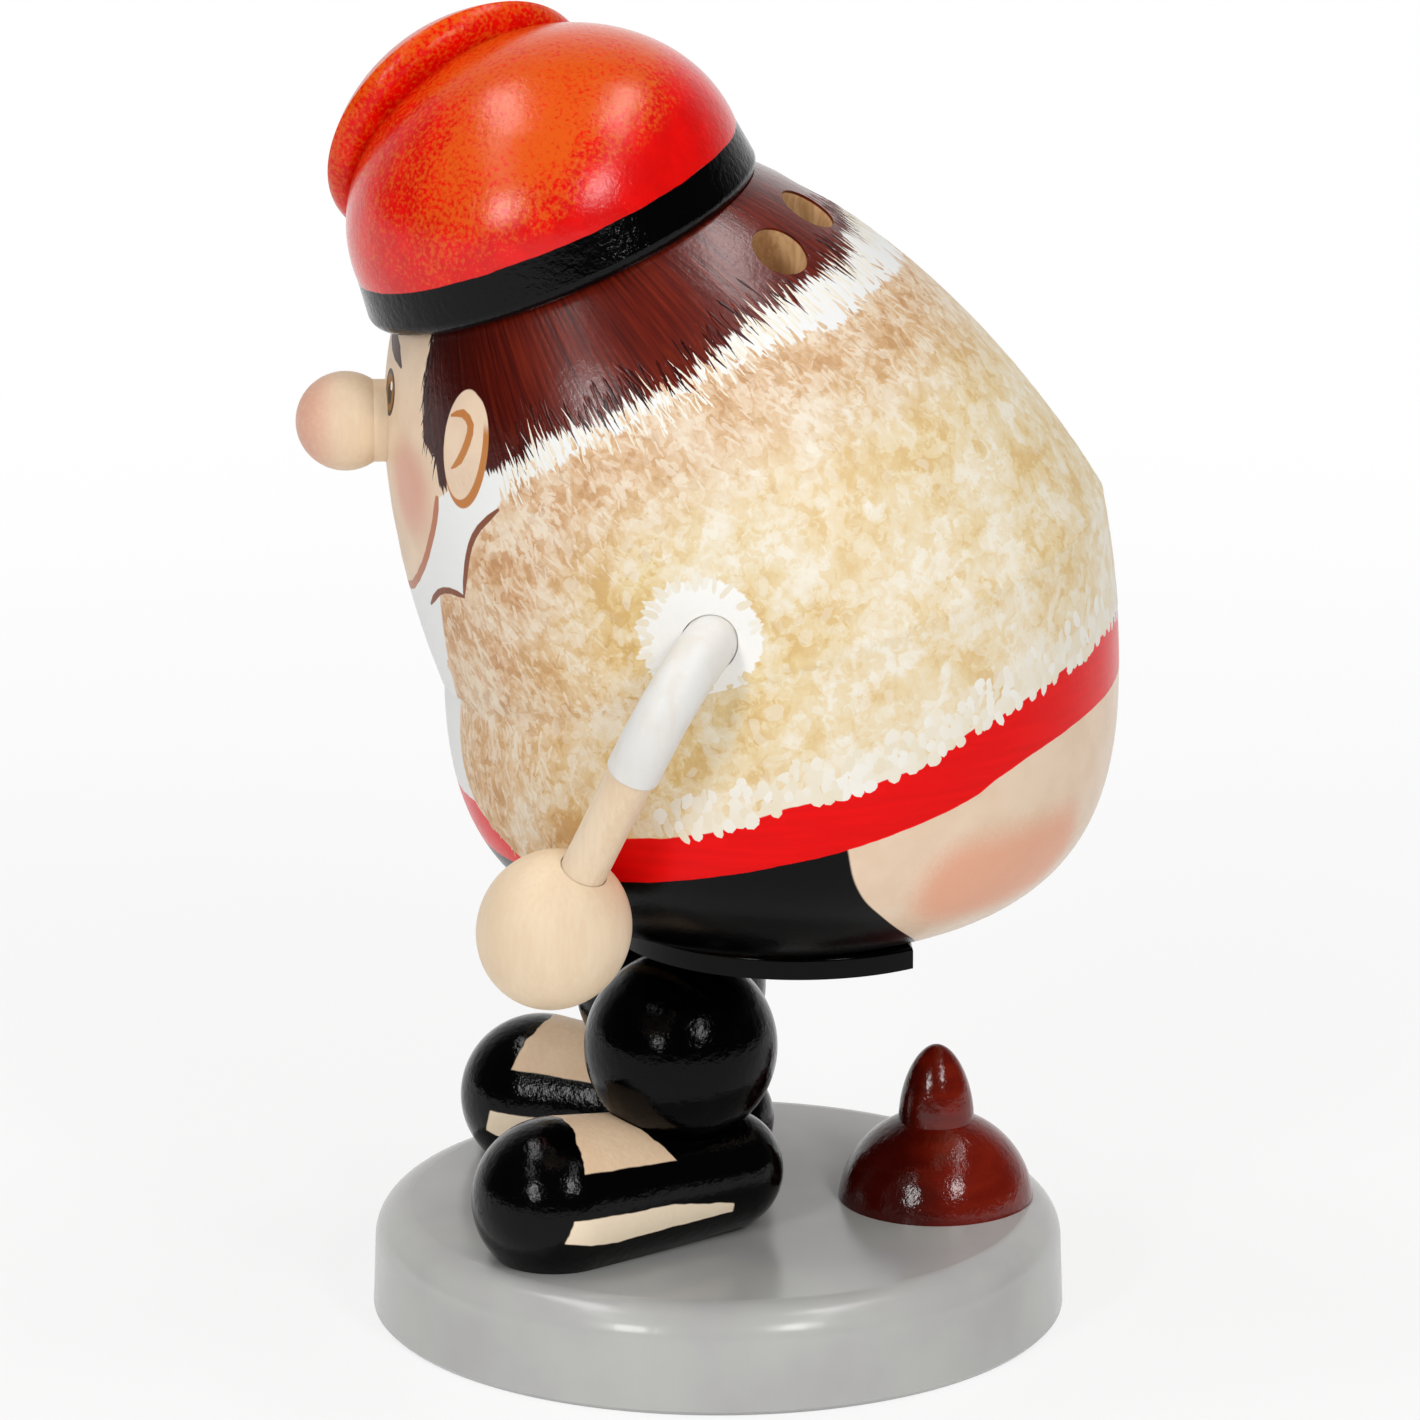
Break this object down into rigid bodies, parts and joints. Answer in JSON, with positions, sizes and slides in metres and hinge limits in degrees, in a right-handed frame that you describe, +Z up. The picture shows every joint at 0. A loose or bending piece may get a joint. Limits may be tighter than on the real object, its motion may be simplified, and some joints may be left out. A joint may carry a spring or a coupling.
{
  "type": "incense smoker",
  "caption": "Squatting turned-wood figure that lifts off its round stand; its hollow body covers a burning incense cone and lets the smoke out at the mouth.",
  "frame": {"origin": "centre of the round base's underside, on the table", "axes": "+Z up; the figure faces -Y, so +X is its left-hand side"},
  "size_m": [0.0898, 0.088, 0.1439],
  "materials": {
    "base_paint": "satin light grey paint on turned wood",
    "black_gloss": "gloss black lacquer on turned wood",
    "bare_wood": "bare turned dowel",
    "plate_metal": "pressed sheet metal dish",
    "tack_metal": "plain tack",
    "heap_brown": "gloss red-brown lacquer on turned wood",
    "body_paint": "satin painted fur, hair, face and clothes on turned wood",
    "cap_red": "gloss red and orange sponged lacquer with a black band",
    "flesh_paint": "satin flesh-coloured lacquer on turned wood",
    "sleeve_paint": "satin white sleeve over a flesh-coloured forearm"
  },
  "bodies": {
    "stand": {"base_plate": "base_paint", "left_shoe": "black_gloss", "right_shoe": "black_gloss", "left_leg_ball": "black_gloss", "right_leg_ball": "black_gloss", "left_leg_dowel": "bare_wood", "right_leg_dowel": "bare_wood", "trouser_disc": "black_gloss", "incense_plate": "plate_metal", "plate_tack": "tack_metal", "heap": "heap_brown", "heap_peg": "bare_wood"},
    "figure": {"belly_bowl": "body_paint", "upper_body": "body_paint", "body_dowels": "bare_wood", "cap": "cap_red", "cap_dowel": "bare_wood", "cap_tip": "cap_red", "cap_tip_dowel": "bare_wood", "nose": "flesh_paint", "left_arm": "sleeve_paint", "right_arm": "sleeve_paint", "left_hand": "flesh_paint", "right_hand": "flesh_paint"}
  },
  "joints": [
    {"name": "body_lift", "type": "slide", "parent": "stand", "child": "figure", "axis": [0, 0, 1], "range_m": [0, 0.06]}
  ]
}
